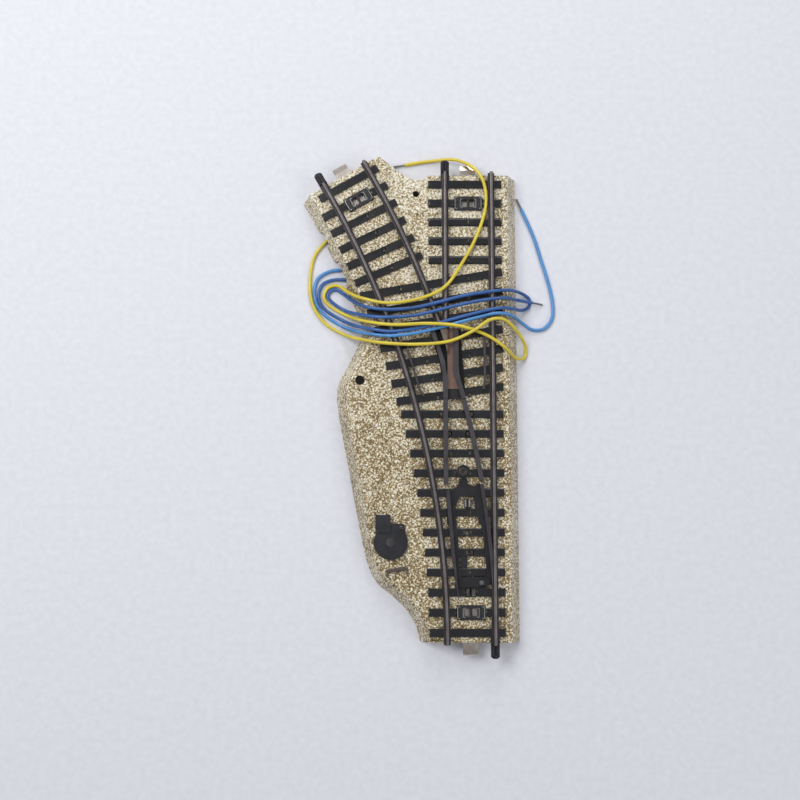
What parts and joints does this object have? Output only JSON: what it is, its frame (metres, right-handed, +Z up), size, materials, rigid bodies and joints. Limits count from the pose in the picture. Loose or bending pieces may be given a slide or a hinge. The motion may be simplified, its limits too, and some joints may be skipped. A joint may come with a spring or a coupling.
{
  "type": "model railway turnout",
  "caption": "Left-hand H0 turnout of folded tin-plate track with centre contacts, coil drive, hand lever and connecting leads.",
  "frame": {"origin": "middle of the track at the toe end, on the plane that the ballast stands on", "axes": "+Y along the straight route from the toe end, +X to the right across the track, +Z up"},
  "size_m": [0.0988, 0.1943, 0.0148],
  "materials": {
    "printed_ballast": "sheet steel printed with a ballast pattern",
    "black_enamel": "glossy black print",
    "browned_steel": "browned steel",
    "blackened_steel": "matt black steel",
    "copper_tint": "bare rose-brown metal",
    "black_insulator": "moulded phenolic",
    "contact_bronze": "phosphor bronze strip",
    "nickel_plate": "dull nickel plate",
    "dark_steel": "browned steel",
    "zinc_steel": "zinc-plated steel",
    "coil_plastic": "moulded plastic",
    "enamelled_copper": "enamelled copper wire",
    "khaki_paint": "smooth khaki paint",
    "hard_paper": "laminated hard paper",
    "yellow_pvc": "soft PVC insulation",
    "blue_pvc": "soft PVC insulation",
    "tinned_wire": "tinned copper strands"
  },
  "bodies": {
    "bed": {"ballast_shell": "printed_ballast", "ballast_shoulder": "printed_ballast", "sleepers_toe": "black_enamel", "sleepers_frog": "black_enamel", "sleepers_straight_end": "black_enamel", "sleepers_branch_end": "black_enamel", "stock_rail_straight": "browned_steel", "stock_rail_curved": "browned_steel", "closure_rail_straight": "blackened_steel", "closure_rail_curved": "blackened_steel", "frog_wings": "blackened_steel", "frog_nose": "blackened_steel", "frog_floor_plate": "copper_tint", "exit_rail_straight": "browned_steel", "exit_rail_branch": "browned_steel", "check_rail_straight": "blackened_steel", "check_rail_branch": "blackened_steel", "joiner_tab_toe": "browned_steel", "joiner_tab_straight": "browned_steel", "joiner_tab_branch": "browned_steel", "window_insulator_toe": "black_insulator", "window_insulator_straight": "black_insulator", "window_insulator_branch": "black_insulator", "contact_spring_toe": "contact_bronze", "contact_spring_straight": "contact_bronze", "contact_spring_branch": "contact_bronze", "stud_strip_toe": "nickel_plate", "stud_strip_straight": "nickel_plate", "stud_strip_branch": "nickel_plate", "pivot_rivet": "dark_steel", "slide_panel": "black_enamel", "heel_contact_block": "black_insulator", "heel_contact_strips": "nickel_plate", "slide_guides": "zinc_steel", "lantern_clip": "nickel_plate", "bobbin_front": "coil_plastic", "bobbin_rear": "coil_plastic", "winding_front": "enamelled_copper", "winding_rear": "enamelled_copper", "coil_yoke": "zinc_steel", "drive_cover": "khaki_paint", "cover_posts": "zinc_steel", "cover_screws": "zinc_steel", "terminal_board": "hard_paper", "solder_tags": "nickel_plate", "lead_yellow": "yellow_pvc", "lead_blue_upper": "blue_pvc", "lead_blue_lower": "blue_pvc", "lead_ends": "tinned_wire"},
    "points": {"blade_curved": "blackened_steel", "blade_straight": "blackened_steel", "heel_plate": "blackened_steel", "tie_bar": "blackened_steel", "drive_pin": "zinc_steel"},
    "slide": {"slide_plate": "zinc_steel"},
    "lever": {"hand_lever": "blackened_steel", "lever_shaft": "dark_steel", "lever_crank": "zinc_steel", "lever_rivet": "dark_steel"},
    "plunger": {"armature": "zinc_steel"}
  },
  "joints": [
    {"name": "points_swing", "type": "hinge", "parent": "bed", "child": "points", "pos_m": [-0.0027, 0.0642, 0.0085], "axis": [0, 0, 1], "range_deg": [-4.4, 0]},
    {"name": "slide_travel", "type": "slide", "parent": "bed", "child": "slide", "axis": [1, 0, 0], "range_m": [-0.0034, 0]},
    {"name": "lever_turn", "type": "hinge", "parent": "bed", "child": "lever", "pos_m": [-0.0302, 0.0375, 0.0075], "axis": [0, 0, 1], "range_deg": [-40.5, 0]},
    {"name": "armature_travel", "type": "slide", "parent": "bed", "child": "plunger", "axis": [0, 1, 0], "range_m": [-0.0034, 0]}
  ],
  "couplings": [
    {"joint": "slide_travel", "follows": "points_swing", "m_per_rad": 0.04186},
    {"joint": "lever_turn", "follows": "points_swing", "ratio": 9.0909},
    {"joint": "armature_travel", "follows": "points_swing", "m_per_rad": 0.04186}
  ]
}
